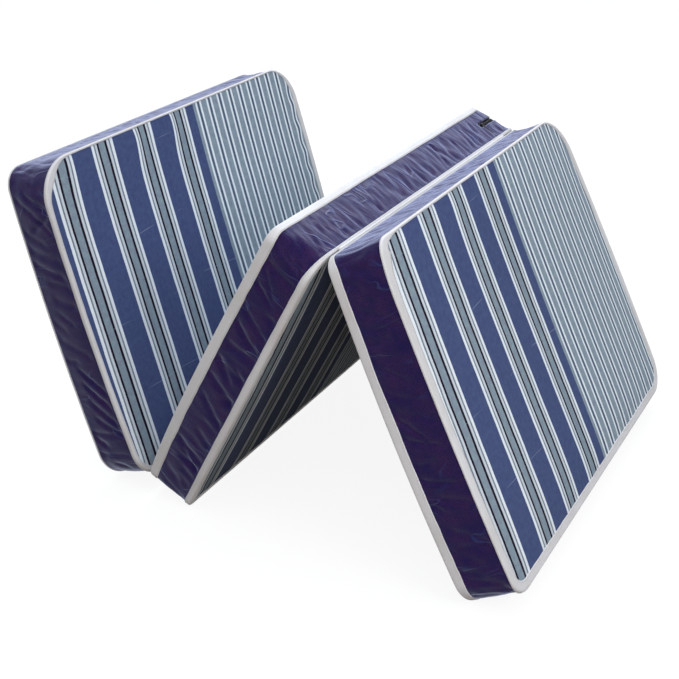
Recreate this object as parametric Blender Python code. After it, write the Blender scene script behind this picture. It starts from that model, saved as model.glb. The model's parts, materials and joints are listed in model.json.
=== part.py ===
"""A three-section folding futon mattress, standing as a zigzag on its lower edges.

Each section is made in its own flat frame: X runs along the stripes from edge to edge,
Y along the folds, Z through the thickness. Plans are outlines moved in by an inset, so
every layer of a section follows the same rounded shape. A face of a section is at Z = 0
(back) or Z = THICKNESS (face), and inset 0 is the outermost line of its bindings.
"""
import math

import bmesh
import bpy
from mathutils import Matrix, Vector

# Sections, in metres
SECTION_DEPTH = 0.630
SECTION_WIDTH = 0.840
THICKNESS = 0.096
CORNER_RADIUS = 0.060
SEWN_CORNER_RADIUS = 0.018 # of the middle section, squared off where it is sewn at the floor
CORNER_SEGMENTS = 4
END_BOW = 0.009            # how far the two short ends swell beyond a straight line
END_POINTS = 2
CROWN = 0.0045             # how far the faces swell
CROWN_RUN = 0.105          # from a binding's edge to where the face is level
CROWN_SHARES = (1, 0.38, 0)          # of that run, where the curve has its points
LEAST_RADIUS = 0.006

# Layers
GAP = 0.0003
FABRIC = 0.0018
TAPE_THICKNESS = 0.0012
TAPE_ON_FACE = 0.015
TAPE_ON_BAND = 0.011
EDGE_ROLL = 0.004          # radius of the bound edge
BAND_DRAW = 0.0027         # how far the band is drawn in at mid thickness
BAND_SHOULDER = 0.012      # height up to which the band is upright
BAND_WAIST = 0.034         # height from which it is drawn in fully
FOAM_WAIST = 0.030
CUT_OVER = 0.005           # how far a cutter reaches past what it cuts
FLOOR_CUT = 0.0005

# Folds
LEFT_LEAN = math.radians(16.5)
RIGHT_LEAN = math.radians(27.4)      # of the middle and right sections
AXIS_OFF_FACE = 0.0008
AXIS_OFF_BAND = 0.0008
SEAM_RADIUS = 0.00245
SEAM_SIDES = 8
STRIP_ON_TAPE = 0.012
STRIP_THICKNESS = 0.0010
STRIP_MARGIN = 0.012       # left free at each end of the straight edge

# Zip
ZIP_SETBACK = 0.095        # from the section's end to the end of the slot in its long edge
SLOT_HALF = 0.0055
SLOT_SETBACK = 0.030       # from the next corner's start to the end of the slot
ZIP_TAPE_HALF = 0.014
ZIP_TAPE_THICKNESS = 0.0008
ZIP_TAPE_OVERRUN = 0.010
COIL_HALF = 0.0030
COIL_HEIGHT = 0.0025
COIL_CROWN = 0.0005        # how far its flanks lie below its top
STOP_LENGTH = 0.0025
SLIDER_FROM_END = 0.011
SLIDER_HALF_LENGTH = 0.006
SLIDER_HALF_WIDTH = 0.0052
SLIDER_CLEARANCE = 0.0005  # to the coil
SLIDER_CHAMFER = 0.0006
BRIDGE_BAR = 0.0015
BRIDGE_SETBACK = 0.0007
PULLER_LENGTH = 0.029
PULLER_HALF_WIDTH = 0.0033
PULLER_THICKNESS = 0.0012
PULLER_TILT = math.radians(2.5)
PULLER_ROLL = 0.0021       # radius of its rolled end
PULLER_EYE = 0.00135
WINDOW_BORDER = 0.0018
WINDOW_LENGTH = 0.011
WINDOW_TO_TIP = 0.0035

MID = THICKNESS / 2
BAND_INSET = TAPE_THICKNESS + GAP
BAND_MID_INSET = BAND_INSET + BAND_DRAW
ZIP_END_Y = SECTION_WIDTH / 2 - ZIP_SETBACK
ZIP_TAPE_INSET = BAND_MID_INSET + FABRIC + GAP
COIL_FOOT_INSET = ZIP_TAPE_INSET - GAP
COIL_TOP_INSET = COIL_FOOT_INSET - COIL_HEIGHT
SLIDER_TOP_INSET = 0.0020
BRIDGE_INSET = -0.0006     # the puller's pivot, just outside the bindings' plane
COVER_DEPTH = BAND_INSET + FABRIC    # a face panel's inner side, below the bound edge


def outline(inset, side):
    """Plan points, anticlockwise from the foot of the +X +Y corner, moved in by inset."""
    half_x = SECTION_DEPTH / 2 - inset
    half_y = SECTION_WIDTH / 2 - inset
    sewn = SEWN_CORNER_RADIUS if side == "middle" else CORNER_RADIUS
    radii = {1: max(CORNER_RADIUS - inset, LEAST_RADIUS), -1: max(sewn - inset, LEAST_RADIUS)}
    points = []
    for quarter in range(4):
        side_x = 1 if quarter in (0, 3) else -1
        side_y = 1 if quarter in (0, 1) else -1
        radius = radii[side_x]
        for step in range(CORNER_SEGMENTS + 1):
            angle = math.pi / 2 * (quarter + step / CORNER_SEGMENTS)
            points.append((side_x * (half_x - radius) + radius * math.cos(angle),
                           side_y * (half_y - radius) + radius * math.sin(angle)))
        if quarter in (0, 2):
            start, end = side_x * (half_x - radius), -side_x * (half_x - radii[-side_x])
            for step in range(1, END_POINTS + 1):
                share = step / (END_POINTS + 1)
                points.append((start + share * (end - start), side_y * half_y))
    return [bowed(x, y) for x, y in points]


def bowed(x, y):
    """Swell the short ends; x is measured from the middle, and returned from the -X edge."""
    swell = END_BOW * (1 - (2 * x / SECTION_DEPTH) ** 2)
    return x + SECTION_DEPTH / 2, y + math.copysign(swell, y)


def swollen_face():
    """(inset, rise) points of a swollen face, from its level middle to its binding."""
    return [(TAPE_ON_FACE + CROWN_RUN * share, CROWN * math.sin(math.pi / 2 * share))
            for share in CROWN_SHARES]


def make_material(name, color, roughness, metallic=0.0):
    material = bpy.data.materials.new(name)
    material.use_nodes = True
    shader = material.node_tree.nodes["Principled BSDF"]
    shader.inputs["Base Color"].default_value = (*color, 1)
    shader.inputs["Roughness"].default_value = roughness
    shader.inputs["Metallic"].default_value = metallic
    return material


def add_object(name, mesh, look, parent):
    thing = bpy.data.objects.new(name, mesh)
    bpy.context.collection.objects.link(thing)
    color, roughness, metallic = look
    mesh.materials.append(make_material(name, color, roughness, metallic))
    thing.parent = parent
    return thing


def skin(loops, cyclic=False):
    """Mesh through successive closed loops of points, joined up again or capped."""
    rows = [loop + loop[:1] for loop in (loops + loops[:1] if cyclic else loops)]
    bm = bmesh.new()
    bmesh.ops.create_grid(bm, x_segments=len(rows[0]) - 1, y_segments=len(rows) - 1)
    for vert, point in zip(bm.verts, (point for row in rows for point in row)):
        vert.co = point
    bmesh.ops.remove_doubles(bm, verts=bm.verts, dist=1e-6)
    bmesh.ops.holes_fill(bm, edges=bm.edges, sides=0)
    bmesh.ops.recalc_face_normals(bm, faces=bm.faces)
    mesh = bpy.data.meshes.new("skin")
    bm.to_mesh(mesh)
    bm.free()
    return mesh


def ringed(section, side):
    """Loops round the whole plan, one for each (inset, height) point of a cross-section."""
    return [[(x, y, height) for x, y in outline(inset, side)] for inset, height in section]


def mirrored(section):
    """A cross-section at the back of a section, from one at its face."""
    return [(inset, THICKNESS - height) for inset, height in section]


def zip_route(side, inset, start_y, setback):
    """The zip's way: up the +X edge, round its corner, and on to short of the next corner."""
    plan = outline(inset, side)
    corner = Vector(plan[CORNER_SEGMENTS + END_POINTS + 1])
    before = Vector(plan[CORNER_SEGMENTS + END_POINTS])
    end = corner + (before - corner).normalized() * setback
    return [(plan[0][0], start_y)] + plan[:CORNER_SEGMENTS + END_POINTS + 1] + [tuple(end)]


def along_zip(side, section, start_y, setback):
    """Loops of a cross-section carried along the zip's way."""
    ways = [zip_route(side, inset, start_y, setback) for inset, _ in section]
    heights = [height for _, height in section]
    return [[(*way[stop], height) for way, height in zip(ways, heights)]
            for stop in range(len(ways[0]))]


def box_section(inset, depth, low, high):
    """Cross-section of a flat strip: from inset to inset + depth, and low to high."""
    return [(inset, low), (inset, high), (inset + depth, high), (inset + depth, low)]


FOAM = ((0.80, 0.72, 0.42), 0.95, 0.0)
TICKING = ((0.055, 0.070, 0.190), 0.80, 0.0)
BAND = ((0.030, 0.022, 0.115), 0.45, 0.0)
TAPE = ((0.640, 0.620, 0.640), 0.60, 0.0)
ZIP_CLOTH = ((0.012, 0.012, 0.016), 0.85, 0.0)
ZIP_NYLON = ((0.015, 0.015, 0.018), 0.40, 0.0)
ZIP_METAL = ((0.020, 0.020, 0.024), 0.35, 0.8)


def add_foam_core(side, parent):
    low = COVER_DEPTH + GAP
    waist = ZIP_TAPE_INSET + ZIP_TAPE_THICKNESS + 2 * GAP
    section = [(inset, low - rise) for inset, rise in swollen_face()]
    section += [(low, low), (low, BAND_SHOULDER), (waist, FOAM_WAIST)]
    section += mirrored(section)[::-1]
    mesh = skin(ringed(section, side))
    add_object(side + "_foam_core", mesh, FOAM, parent)


def add_panels(side, parent):
    """Striped ticking on both faces, tucked under the bindings."""
    top = THICKNESS - BAND_INSET
    section = [(inset, top + rise) for inset, rise in swollen_face() + [(EDGE_ROLL, 0)]]
    section += [(inset, height - FABRIC) for inset, height in section[::-1]]
    add_object(side + "_face_panel", skin(ringed(section, side)), TICKING, parent)
    back = skin(ringed(mirrored(section), side))
    add_object(side + "_back_panel", back, TICKING, parent)


def add_border_band(side, parent):
    """The band round the thickness, drawn in at its middle and slotted for the zip."""
    outer = [(BAND_INSET, EDGE_ROLL), (BAND_INSET, BAND_SHOULDER), (BAND_MID_INSET, BAND_WAIST)]
    outer += mirrored(outer)[::-1]
    inner = [(inset + FABRIC, height) for inset, height in outer[::-1]]
    wall = skin(ringed(outer + inner, side), cyclic=True)
    band = add_object(side + "_border_band", wall, BAND, parent)
    slot = box_section(-CUT_OVER, BAND_MID_INSET + FABRIC + 2 * CUT_OVER,
                       MID - SLOT_HALF, MID + SLOT_HALF)
    cut_away(band, skin(along_zip(side, slot, ZIP_END_Y, SLOT_SETBACK)))


def cut_away(thing, mesh, operation="DIFFERENCE"):
    """Cut a hidden helper mesh from an object, or join it on."""
    helper = bpy.data.objects.new(thing.name + "_helper", mesh)
    bpy.context.collection.objects.link(helper)
    helper.parent = thing
    helper.hide_render = True
    helper.hide_viewport = True
    boolean = thing.modifiers.new("shape", "BOOLEAN")
    boolean.operation = operation
    boolean.object = helper
    boolean.solver = "EXACT"


def add_bindings(side, parent, floor_plane):
    """White tape folded over both bound edges; the one on the floor is cut flat there."""
    diagonal = EDGE_ROLL * (1 - math.sqrt(0.5))
    top, leg = THICKNESS, THICKNESS - TAPE_ON_BAND
    section = [(TAPE_ON_FACE, top), (EDGE_ROLL, top), (diagonal, top - diagonal),
               (0, top - EDGE_ROLL), (0, leg), (TAPE_THICKNESS, leg),
               (TAPE_THICKNESS, top - EDGE_ROLL), (EDGE_ROLL, top - TAPE_THICKNESS),
               (TAPE_ON_FACE, top - TAPE_THICKNESS)]
    face = skin(ringed(section, side), cyclic=True)
    back = skin(ringed(mirrored(section), side), cyclic=True)
    flatten(back, floor_plane)
    add_object(side + "_face_binding", face, TAPE, parent)
    add_object(side + "_back_binding", back, TAPE, parent)


def flatten(mesh, floor_plane):
    """Cut a mesh off below a plane given by a point and a normal, and close the cut."""
    point, normal = floor_plane
    bm = bmesh.new()
    bm.from_mesh(mesh)
    cut = bmesh.ops.bisect_plane(bm, geom=bm.verts[:] + bm.edges[:] + bm.faces[:], plane_co=point,
                                 plane_no=normal, clear_inner=True)
    rim = [item for item in cut["geom_cut"] if isinstance(item, bmesh.types.BMEdge)]
    bmesh.ops.holes_fill(bm, edges=rim, sides=0)
    bmesh.ops.recalc_face_normals(bm, faces=bm.faces)
    bm.to_mesh(mesh)
    bm.free()


def add_zip(side, parent):
    low, high = MID - ZIP_TAPE_HALF, MID + ZIP_TAPE_HALF
    halves = {"face_side": (MID + GAP / 2, high), "back_side": (low, MID - GAP / 2)}
    for name, (bottom, top) in halves.items():
        strip = box_section(ZIP_TAPE_INSET, ZIP_TAPE_THICKNESS, bottom, top)
        mesh = skin(along_zip(side, strip, ZIP_END_Y - ZIP_TAPE_OVERRUN,
                              SLOT_SETBACK - ZIP_TAPE_OVERRUN))
        add_object(f"{side}_zip_tape_{name}", mesh, ZIP_CLOTH, parent)
    flank = (COIL_TOP_INSET + COIL_CROWN, COIL_HALF - COIL_CROWN)
    coil = [(COIL_FOOT_INSET, MID - COIL_HALF), (COIL_FOOT_INSET, MID + COIL_HALF),
            (flank[0], MID + flank[1]), (COIL_TOP_INSET, MID), (flank[0], MID - flank[1])]
    room = STOP_LENGTH + 3 * GAP
    mesh = skin(along_zip(side, coil, ZIP_END_Y + room, SLOT_SETBACK + room))
    add_object(side + "_zip_coil", mesh, ZIP_NYLON, parent)
    add_stops(side, parent)


def add_stops(side, parent):
    """The metal stops at the two ends of the coil."""
    stop = box_section(COIL_TOP_INSET, COIL_FOOT_INSET - COIL_TOP_INSET,
                       MID - COIL_HALF, MID + COIL_HALF)
    near, far = GAP, GAP + STOP_LENGTH
    top_loops = [along_zip(side, stop, ZIP_END_Y + run, SLOT_SETBACK)[0] for run in (near, far)]
    add_object(side + "_zip_top_stop", skin(top_loops), ZIP_METAL, parent)
    bottom_loops = [along_zip(side, stop, ZIP_END_Y, SLOT_SETBACK + run)[-1]
                    for run in (near, far)]
    add_object(side + "_zip_bottom_stop", skin(bottom_loops), ZIP_METAL, parent)


def add_slider(side, frame):
    """A saddle over the coil with a bridge for the puller; its origin is the bridge's bar."""
    foot, top = COIL_FOOT_INSET - GAP / 2, SLIDER_TOP_INSET
    wide, narrow = SLIDER_HALF_WIDTH, COIL_HALF + SLIDER_CLEARANCE
    roof = COIL_TOP_INSET - SLIDER_CLEARANCE
    half_top, eaves = wide - SLIDER_CHAMFER, top + SLIDER_CHAMFER
    saddle = [(foot, -wide), (eaves, -wide), (top, -half_top), (top, half_top),
              (eaves, wide), (foot, wide), (foot, narrow), (roof, narrow),
              (roof, -narrow), (foot, -narrow)]
    loops = [[(BRIDGE_INSET - inset, y, z) for inset, z in saddle]
             for y in (-SLIDER_HALF_LENGTH, SLIDER_HALF_LENGTH)]
    slider = add_object(side + "_zip_slider", skin(loops), ZIP_METAL, frame)
    sunk = BRIDGE_INSET - (top + roof) / 2
    half, reach = BRIDGE_BAR / 2, SLIDER_HALF_LENGTH - BRIDGE_SETBACK
    bridge = [(sunk, -reach), (half, -reach), (half, reach), (sunk, reach),
              (sunk, reach - BRIDGE_BAR), (-half, reach - BRIDGE_BAR),
              (-half, BRIDGE_BAR - reach), (sunk, BRIDGE_BAR - reach)]
    arch = skin([[(x, y, z) for x, y in bridge] for z in (-half, half)])
    cut_away(slider, arch, "UNION")


def add_puller(side, frame):
    """A tab whose rolled end turns on the slider's bridge; it lies across the band."""
    roll, half = PULLER_ROLL, PULLER_THICKNESS / 2
    start = math.asin(half / roll)
    turns = [start + (math.tau - 2 * start) * step / 14 for step in range(15)]
    key = [(PULLER_LENGTH, half)] + [(roll * math.cos(a), roll * math.sin(a)) for a in turns]
    key.append((PULLER_LENGTH, -half))
    # X runs out of the band, Y along the zip, and the tab points down to the back binding
    loops = [[(x, y, -z) for z, x in key] for y in (-PULLER_HALF_WIDTH, PULLER_HALF_WIDTH)]
    puller = add_object(side + "_zip_puller", skin(loops), ZIP_METAL, frame)
    puller.rotation_euler.y = PULLER_TILT
    openings = bmesh.new()
    across = Matrix.Rotation(math.pi / 2, 4, "X")
    bmesh.ops.create_cone(openings, cap_ends=True, segments=12, radius1=PULLER_EYE,
                          radius2=PULLER_EYE, depth=2 * (PULLER_HALF_WIDTH + CUT_OVER),
                          matrix=across)
    centre = Matrix.Translation((0, 0, WINDOW_TO_TIP + WINDOW_LENGTH / 2 - PULLER_LENGTH))
    size = (2 * CUT_OVER, 2 * (PULLER_HALF_WIDTH - WINDOW_BORDER), WINDOW_LENGTH, 1)
    bmesh.ops.create_cube(openings, size=1, matrix=centre @ Matrix.Diagonal(size))
    mesh = bpy.data.meshes.new("openings")
    openings.to_mesh(mesh)
    openings.free()
    cut_away(puller, mesh)


def add_fold_strip(name, edge_x, face_z, parent):
    """A strip sewn to one binding, ending in the seam that the other section turns on."""
    (x_axis, z_axis), (x_in, z_in) = edge_x, face_z
    half_run = SECTION_WIDTH / 2 - CORNER_RADIUS - STRIP_MARGIN
    toward = math.copysign(1, x_in - x_axis)
    outward = math.copysign(1, z_axis - z_in)
    low = z_in + outward * GAP
    high = low + outward * STRIP_THICKNESS
    start = math.asin((high - z_axis) * outward / SEAM_RADIUS)
    end = math.tau + math.asin((low - z_axis) * outward / SEAM_RADIUS)
    turns = [start + (end - start) * step / SEAM_SIDES for step in range(SEAM_SIDES + 1)]
    profile = [(x_in, low), (x_in, high)]
    profile += [(x_axis + toward * SEAM_RADIUS * math.cos(turn),
                 z_axis + outward * SEAM_RADIUS * math.sin(turn)) for turn in turns]
    loops = [[(x, y, z) for x, z in profile] for y in (-half_run, half_run)]
    add_object(name, skin(loops), TAPE, parent)


def frame_matrix(lean, rising, local, world):
    """Stand a section at its lean, so that a point of its flat frame meets a world point."""
    turn = lean - math.pi / 2 if rising else math.pi / 2 - lean
    rotation = Matrix.Rotation(turn, 4, "Y")
    return Matrix.Translation(world) @ rotation @ Matrix.Translation(-local)


def fold_points():
    """The folds' axes in the sections' flat frames, with the slack that the leans need."""
    reach = THICKNESS + AXIS_OFF_FACE - EDGE_ROLL
    rise = reach * (math.sin(RIGHT_LEAN) - math.sin(LEFT_LEAN))
    slack = (rise + (AXIS_OFF_BAND + EDGE_ROLL) * math.cos(LEFT_LEAN)) / math.cos(RIGHT_LEAN)
    slack -= EDGE_ROLL
    over, under = THICKNESS + AXIS_OFF_FACE, -AXIS_OFF_FACE
    return {
        "left_low": Vector((SECTION_DEPTH + AXIS_OFF_BAND, 0, over)),
        "middle_low": Vector((-slack, 0, over)),
        "middle_high": Vector((SECTION_DEPTH + AXIS_OFF_BAND, 0, under)),
        "right_high": Vector((-AXIS_OFF_BAND, 0, under)),
    }


def stand_sections(folds):
    """World matrices of the three sections, standing on z = 0 and centred on x = 0."""
    foot = Vector((EDGE_ROLL, 0, EDGE_ROLL))
    middle = frame_matrix(RIGHT_LEAN, True, foot, Vector((0, 0, EDGE_ROLL - FLOOR_CUT)))
    left = frame_matrix(LEFT_LEAN, False, folds["left_low"], middle @ folds["middle_low"])
    right = frame_matrix(RIGHT_LEAN, False, folds["right_high"], middle @ folds["middle_high"])
    least = (left @ Vector((EDGE_ROLL, 0, EDGE_ROLL))).x - EDGE_ROLL
    most_corner = Vector((SECTION_DEPTH - EDGE_ROLL, 0, THICKNESS - EDGE_ROLL))
    most = (right @ most_corner).x + EDGE_ROLL
    centre = Matrix.Translation((-(least + most) / 2, 0, 0))
    return {"left": centre @ left, "middle": centre @ middle, "right": centre @ right}


def add_empty(name, matrix, parent=None):
    empty = bpy.data.objects.new(name, None)
    bpy.context.collection.objects.link(empty)
    empty.parent = parent
    empty.matrix_local = matrix
    return empty


def add_section(side, matrix):
    frame = add_empty(side + "_section", matrix)
    to_flat = matrix.inverted()
    floor_point = to_flat @ Vector((0, 0, 0))
    floor_normal = (to_flat.to_3x3() @ Vector((0, 0, 1))).normalized()
    add_foam_core(side, frame)
    add_panels(side, frame)
    add_border_band(side, frame)
    add_bindings(side, frame, (floor_point, floor_normal))
    add_zip(side, frame)
    pivot = Vector((SECTION_DEPTH - BRIDGE_INSET, ZIP_END_Y + SLIDER_FROM_END, MID))
    pivot_frame = add_empty(side + "_zip_pivot", Matrix.Translation(pivot), frame)
    add_slider(side, pivot_frame)
    add_puller(side, pivot_frame)
    print(side, "zip pivot", [round(value, 5) for value in matrix @ pivot])
    return frame


def main():
    for thing in list(bpy.data.objects):
        bpy.data.objects.remove(thing, do_unlink=True)
    folds = fold_points()
    matrices = stand_sections(folds)
    frames = {side: add_section(side, matrix) for side, matrix in matrices.items()}
    low, high = folds["middle_low"], folds["middle_high"]
    add_fold_strip("lower_fold_strip", (low.x, low.z), (STRIP_ON_TAPE, THICKNESS), frames["middle"])
    add_fold_strip("upper_fold_strip", (high.x, high.z), (SECTION_DEPTH - STRIP_ON_TAPE, 0),
                   frames["middle"])
    for name in ("middle_low", "middle_high"):
        print("fold", name, [round(value, 5) for value in matrices["middle"] @ folds[name]])
    print("slack", round(-folds["middle_low"].x, 5))


main()
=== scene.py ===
import json
import math
import random

import bmesh
import bpy
from mathutils import Matrix, Vector, kdtree, noise


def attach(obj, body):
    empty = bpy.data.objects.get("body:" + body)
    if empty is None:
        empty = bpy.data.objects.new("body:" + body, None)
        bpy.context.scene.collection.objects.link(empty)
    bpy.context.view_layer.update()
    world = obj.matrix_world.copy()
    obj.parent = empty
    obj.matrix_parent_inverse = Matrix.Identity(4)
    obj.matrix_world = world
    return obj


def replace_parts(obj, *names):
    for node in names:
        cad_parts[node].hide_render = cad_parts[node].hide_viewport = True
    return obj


# Folding futon mattress: three foam sections in striped ticking, each with an indigo
# border band, two white bindings and a zip, sewn together along two folds.
# Every section is made flat: X runs along the stripes, Y along the folds and Z through
# the thickness (0 at the back, thickness at the face), and is then stood up.

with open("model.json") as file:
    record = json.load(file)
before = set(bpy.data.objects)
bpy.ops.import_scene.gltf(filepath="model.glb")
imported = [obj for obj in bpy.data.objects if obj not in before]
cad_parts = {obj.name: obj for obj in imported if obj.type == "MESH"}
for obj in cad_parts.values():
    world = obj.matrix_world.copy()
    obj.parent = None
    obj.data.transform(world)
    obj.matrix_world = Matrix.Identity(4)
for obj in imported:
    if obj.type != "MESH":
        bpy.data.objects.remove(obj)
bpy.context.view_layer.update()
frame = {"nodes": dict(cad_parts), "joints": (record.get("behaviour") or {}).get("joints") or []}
scene = bpy.context.scene

# sizes shared by the pieces
mattress = {
    "depth": 0.630, "width": 0.840, "thickness": 0.096,
    "corner": 0.060, "leastCorner": 0.005, "endBow": 0.009,
    # corners that are rounder or tighter than the rest, at the back and at the face: low
    # and high are the start and the end of the stripes
    "corners": {("middle", "low", "near"): (0.018, 0.018),
                ("middle", "low", "far"): (0.018, 0.018),
                ("middle", "high", "near"): (0.050, 0.022),
                ("middle", "high", "far"): (0.022, 0.050),
                ("right", "low", "near"): (0.024, 0.026),
                ("right", "high", "near"): (0.052, 0.040),
                ("left", "low", "near"): (0.040, 0.078),
                ("left", "low", "far"): (0.060, 0.080),
                ("right", "low", "far"): (0.036, 0.085)},
    "leftLean": 16.5, "rightLean": 27.4, "axisOff": 0.0008,
}
sides = ("left", "middle", "right")
depth, width, thickness = mattress["depth"], mattress["width"], mattress["thickness"]


def jointPlace(name):
    return Vector(next(joint["pos_m"] for joint in frame["joints"] if joint["name"] == name))


def standing(side):
    # turns a flat section to its lean, with its edge on the fold's axis
    off = mattress["axisOff"]
    lower, upper = jointPlace("lower_fold"), jointPlace("upper_fold")
    leanLeft, leanRight = math.radians(mattress["leftLean"]), math.radians(mattress["rightLean"])
    turn, edge, axis = {
        "left": (math.pi / 2 - leanLeft, Vector((depth + off, 0, thickness + off)), lower),
        "middle": (leanRight - math.pi / 2, Vector((depth + off, 0, -off)), upper),
        "right": (math.pi / 2 - leanRight, Vector((-off, 0, -off)), upper),
    }[side]
    return Matrix.Translation(axis) @ Matrix.Rotation(turn, 4, "Y") @ Matrix.Translation(-edge)


def between(pair, share):
    return pair[0] + (pair[1] - pair[0]) * share


def cornerRadius(side, sx, sy, inset, up=0.5):
    # sx and sy are the signs of the corner's place in the plan; up is 0 at the back and 1
    # at the face
    name = (side, "high" if sx > 0 else "low", "far" if sy > 0 else "near")
    radii = mattress["corners"].get(name, (mattress["corner"], mattress["corner"]))
    return max(between(radii, up) - inset, mattress["leastCorner"])


def swollen(x, y):
    # the short ends bow outwards; x comes in from the middle and goes out from the edge
    bow = 1 + mattress["endBow"] / (width / 2) * (1 - (2 * x / depth) ** 2)
    return x + depth / 2, y * bow


def planPoint(s, t, side, inset, up):
    # (s, t) runs over a square of -1 to 1, whose corners are rounded off
    halfX, halfY = depth / 2 - inset, width / 2 - inset
    x, y = abs(s) * halfX, abs(t) * halfY
    radius = cornerRadius(side, s, t, inset, up)
    a, b = x - halfX + radius, y - halfY + radius
    if a > 0 and b > 0:
        x += a * math.sqrt(1 - b * b / (2 * radius * radius)) - a
        y += b * math.sqrt(1 - a * a / (2 * radius * radius)) - b
    return swollen(math.copysign(x, s), math.copysign(y, t))


def rimWay(side, inset, pitch, up=0.5):
    # evenly spaced points round the plan, anticlockwise from the middle of the far end,
    # with the outward direction and the run at each
    corners = []
    halfX, halfY = depth / 2 - inset, width / 2 - inset
    for quarter, (sx, sy) in enumerate(((-1, 1), (-1, -1), (1, -1), (1, 1))):
        radius = cornerRadius(side, sx, sy, inset, up)
        for step in range(25):
            angle = math.pi / 2 * (quarter + 1 + step / 24)
            corners.append((sx * (halfX - radius) + radius * math.cos(angle),
                            sy * (halfY - radius) + radius * math.sin(angle)))
    way = [(0.0, halfY)] + corners + [(0.0, halfY)]
    fine = []
    for (ax, ay), (bx, by) in zip(way, way[1:]):
        cuts = max(1, round(math.hypot(bx - ax, by - ay) / 0.004))
        fine += [(ax + (bx - ax) * k / cuts, ay + (by - ay) * k / cuts) for k in range(cuts)]
    fine = [Vector(swollen(x, y)) for x, y in fine + [way[-1]]]
    runs = [0.0]
    for here, there in zip(fine, fine[1:]):
        runs.append(runs[-1] + (there - here).length)
    total = runs[-1]
    count = round(total / pitch)
    points, at = [], 0
    for k in range(count):
        run = total * k / count
        while runs[at + 1] < run:
            at += 1
        share = (run - runs[at]) / (runs[at + 1] - runs[at])
        along = (fine[at + 1] - fine[at]).normalized()
        points.append((fine[at].lerp(fine[at + 1], share), Vector((along.y, -along.x)), run))
    return points, total


def sweptGrid(columns, rows, pointAt, capEnds=False):
    # a closed skin over a grid of points, which pointAt places by row and column with
    # the cloth's own coordinates there
    bm = bmesh.new()
    bmesh.ops.create_grid(bm, x_segments=columns - 1, y_segments=rows - 1, size=1)
    layer = bm.loops.layers.uv.new("cloth")
    for index, vert in enumerate(bm.verts):
        vert.co, onCloth = pointAt(*divmod(index, columns))
        for loop in vert.link_loops:
            loop[layer].uv = onCloth
    bmesh.ops.remove_doubles(bm, verts=bm.verts, dist=1e-6)
    if capEnds:
        bmesh.ops.holes_fill(bm, edges=bm.edges, sides=0)
    bmesh.ops.recalc_face_normals(bm, faces=bm.faces)
    return bm


def lapped(run, total):
    # a run round the plan bent into a ring, so that noise along it has no seam
    turn = math.tau * run / total
    return Vector((math.cos(turn), math.sin(turn), 0)) * total / math.tau


def noiseAt(x, y, scale, seed):
    return noise.noise(Vector((x * scale, y * scale, seed)))


def linked(name, data):
    item = bpy.data.objects.new(name, data)
    scene.collection.objects.link(item)
    return item


def finished(name, bm, materials, place=None, body=None, smooth=True):
    # turns a bmesh into a finished piece whose place is in its mesh
    mesh = bpy.data.meshes.new(name)
    for face in bm.faces:
        face.smooth = smooth
    bm.to_mesh(mesh)
    bm.free()
    if place:
        mesh.transform(place)
    for material in materials:
        mesh.materials.append(material)
    piece = linked(name, mesh)
    if body:
        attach(piece, body)
    return piece


# shader helpers
def addNode(tree, kind, values=None, **settings):
    node = tree.nodes.new(kind)
    for setting, value in settings.items():
        setattr(node, setting, value)
    for socket, value in (values or {}).items():
        give(tree, node.inputs[socket], value)
    return node


def give(tree, socket, value):
    # links a socket to another node's output, or sets it to a plain value
    if isinstance(value, bpy.types.NodeSocket):
        tree.links.new(value, socket)
    else:
        socket.default_value = value


def mathNode(tree, operation, *values, clamp=False):
    node = addNode(tree, "ShaderNodeMath", operation=operation, use_clamp=clamp)
    for socket, value in zip(node.inputs, values):
        give(tree, socket, value)
    return node.outputs[0]


def noiseOf(tree, vector, scale, detail=2.0, roughness=0.5, distortion=0.0):
    return addNode(tree, "ShaderNodeTexNoise", {
        "Vector": vector, "Scale": scale, "Detail": detail, "Roughness": roughness,
        "Distortion": distortion}).outputs[0]


def ranged(tree, value, start=(0.0, 1.0), goal=(0.0, 1.0)):
    # takes a value from one range to another, and keeps it inside
    return addNode(tree, "ShaderNodeMapRange", {
        0: value, "From Min": start[0], "From Max": start[1], "To Min": goal[0],
        "To Max": goal[1]}).outputs[0]


def mixColour(tree, factor, first, second, blend="MIX"):
    return addNode(tree, "ShaderNodeMix", {0: factor, 6: first, 7: second},
                   data_type="RGBA", blend_type=blend).outputs[2]


def bumped(tree, height, depth, strength, under=None):
    values = {"Height": height, "Distance": depth, "Strength": strength}
    if under:
        values["Normal"] = under
    return addNode(tree, "ShaderNodeBump", values).outputs[0]


def mapped(tree, vector, scale, turn):
    return addNode(tree, "ShaderNodeMapping", {
        "Vector": vector, "Scale": scale, "Rotation": (0.0, 0.0, turn)}).outputs[0]


def splitUp(tree, vector):
    # a vector's X and Y
    parts = addNode(tree, "ShaderNodeSeparateXYZ", {0: vector}).outputs
    return parts[0], parts[1]


def waveOf(tree, run, pitch):
    perMetre = mathNode(tree, "DIVIDE", math.tau, pitch)
    return mathNode(tree, "SINE", mathNode(tree, "MULTIPLY", run, perMetre))


def lineAt(tree, value, centre, edge, core):
    # 1 within core of the centre, and 0 beyond edge
    away = mathNode(tree, "ABSOLUTE", mathNode(tree, "SUBTRACT", value, centre))
    return ranged(tree, away, (edge, core))


# shared shader groups
def newGroup(name, outputs, **inputs):
    # a group that reads a vector and the given values, whose underscores are spaces
    group = bpy.data.node_groups.new(name, "ShaderNodeTree")
    new = group.interface.new_socket
    new("Vector", in_out="INPUT", socket_type="NodeSocketVector")
    for label, value in inputs.items():
        socket = new(label.replace("_", " "), in_out="INPUT", socket_type="NodeSocketFloat")
        socket.default_value = value
    for label in outputs:
        new(label, in_out="OUTPUT", socket_type="NodeSocketFloat")
    return (group, group.nodes.new("NodeGroupInput").outputs,
            group.nodes.new("NodeGroupOutput").inputs)


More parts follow.
